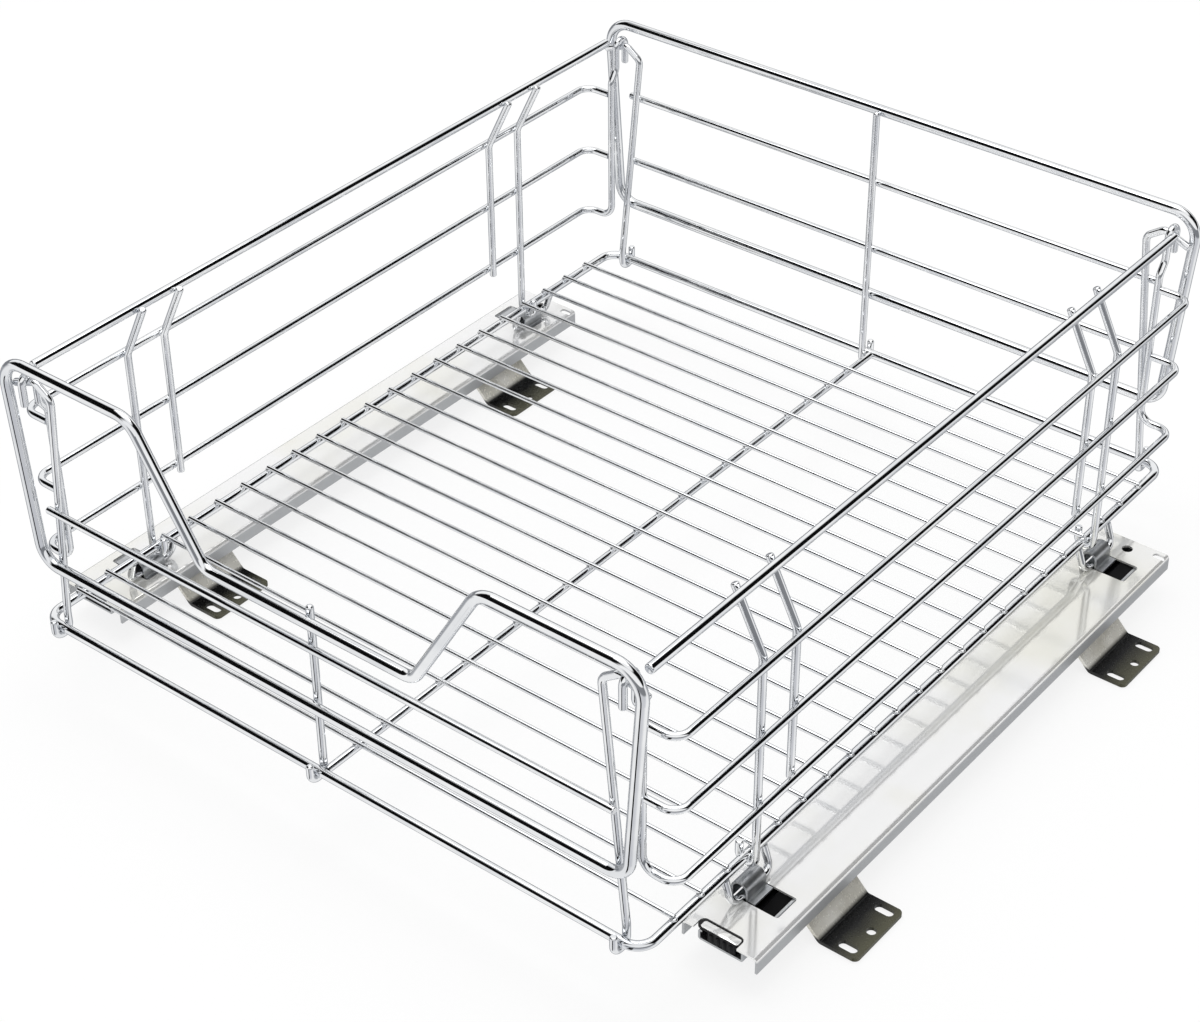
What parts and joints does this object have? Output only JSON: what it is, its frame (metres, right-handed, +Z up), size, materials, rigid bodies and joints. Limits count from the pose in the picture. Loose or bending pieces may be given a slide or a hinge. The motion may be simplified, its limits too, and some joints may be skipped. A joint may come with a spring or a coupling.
{
  "type": "pull-out wire basket on telescopic slides",
  "caption": "Pull-out cabinet basket of chrome wire with a dipped front, knock-down wire sides and a wire floor, carried on floor-mounted telescopic ball slides.",
  "frame": {"origin": "centre of the rectangle of four round holes in the bracket feet, on the feet's underside (the cabinet floor)", "axes": "+Z up; -Y is the dipped front, the way the basket pulls out; +X is the side that all the bracket feet point to"},
  "size_m": [0.4774, 0.4832, 0.2005],
  "materials": {
    "chrome_wire": "bright chrome plated wire",
    "slide_steel": "bright zinc plated sheet",
    "rail_steel": "zinc plated rolled sheet, lightly greased",
    "bracket_steel": "nickel plated pressed sheet",
    "cage_steel": "thin pressed strip",
    "ball_steel": "polished bearing balls",
    "black_plastic": "moulded, fine satin"
  },
  "bodies": {
    "cabinet_runners": {"left_cabinet_rail": "rail_steel", "left_front_bracket": "bracket_steel", "left_rear_bracket": "bracket_steel", "left_rivets": "rail_steel", "right_cabinet_rail": "rail_steel", "right_front_bracket": "bracket_steel", "right_rear_bracket": "bracket_steel", "right_rivets": "rail_steel"},
    "basket": {"floor_rim": "chrome_wire", "floor_cross_wires": "chrome_wire", "floor_centre_wire": "chrome_wire", "front_frame": "chrome_wire", "front_thin_rail": "chrome_wire", "front_centre_upright": "chrome_wire", "front_left_strut": "chrome_wire", "front_right_strut": "chrome_wire", "back_frame": "chrome_wire", "back_upper_rail": "chrome_wire", "back_lower_rail": "chrome_wire", "back_centre_upright": "chrome_wire", "back_left_strut": "chrome_wire", "back_right_strut": "chrome_wire", "left_top_rail": "chrome_wire", "left_upper_wire": "chrome_wire", "left_middle_wire": "chrome_wire", "left_end_loop": "chrome_wire", "left_front_hook_upright": "chrome_wire", "left_rear_hook_upright": "chrome_wire", "left_short_uprights": "chrome_wire", "left_front_foot": "chrome_wire", "left_rear_foot": "chrome_wire", "right_top_rail": "chrome_wire", "right_upper_wire": "chrome_wire", "right_middle_wire": "chrome_wire", "right_end_loop": "chrome_wire", "right_front_hook_upright": "chrome_wire", "right_rear_hook_upright": "chrome_wire", "right_short_uprights": "chrome_wire", "right_front_foot": "chrome_wire", "right_rear_foot": "chrome_wire", "left_cover": "slide_steel", "left_clips": "slide_steel", "left_drawer_rail": "rail_steel", "left_bumper": "black_plastic", "right_cover": "slide_steel", "right_clips": "slide_steel", "right_drawer_rail": "rail_steel", "right_bumper": "black_plastic"},
    "left_middle_rail_body": {"left_middle_rail": "rail_steel"},
    "left_outer_cage_with_balls": {"left_outer_cage": "cage_steel", "left_outer_balls": "ball_steel"},
    "left_inner_cage_with_balls": {"left_inner_cage": "cage_steel", "left_inner_balls": "ball_steel"},
    "right_middle_rail_body": {"right_middle_rail": "rail_steel"},
    "right_outer_cage_with_balls": {"right_outer_cage": "cage_steel", "right_outer_balls": "ball_steel"},
    "right_inner_cage_with_balls": {"right_inner_cage": "cage_steel", "right_inner_balls": "ball_steel"}
  },
  "joints": [
    {"name": "pull_out", "type": "slide", "parent": "cabinet_runners", "child": "basket", "axis": [0, -1, 0], "range_m": [0, 0.36]},
    {"name": "left_middle_rail_run", "type": "slide", "parent": "cabinet_runners", "child": "left_middle_rail_body", "axis": [0, -1, 0], "range_m": [0, 0.18]},
    {"name": "left_outer_cage_run", "type": "slide", "parent": "cabinet_runners", "child": "left_outer_cage_with_balls", "axis": [0, -1, 0], "range_m": [0, 0.09]},
    {"name": "left_inner_cage_run", "type": "slide", "parent": "cabinet_runners", "child": "left_inner_cage_with_balls", "axis": [0, -1, 0], "range_m": [0, 0.27]},
    {"name": "right_middle_rail_run", "type": "slide", "parent": "cabinet_runners", "child": "right_middle_rail_body", "axis": [0, -1, 0], "range_m": [0, 0.18]},
    {"name": "right_outer_cage_run", "type": "slide", "parent": "cabinet_runners", "child": "right_outer_cage_with_balls", "axis": [0, -1, 0], "range_m": [0, 0.09]},
    {"name": "right_inner_cage_run", "type": "slide", "parent": "cabinet_runners", "child": "right_inner_cage_with_balls", "axis": [0, -1, 0], "range_m": [0, 0.27]}
  ],
  "couplings": [
    {"joint": "left_middle_rail_run", "follows": "pull_out", "ratio": 0.5},
    {"joint": "left_outer_cage_run", "follows": "pull_out", "ratio": 0.25},
    {"joint": "left_inner_cage_run", "follows": "pull_out", "ratio": 0.75},
    {"joint": "right_middle_rail_run", "follows": "pull_out", "ratio": 0.5},
    {"joint": "right_outer_cage_run", "follows": "pull_out", "ratio": 0.25},
    {"joint": "right_inner_cage_run", "follows": "pull_out", "ratio": 0.75}
  ]
}
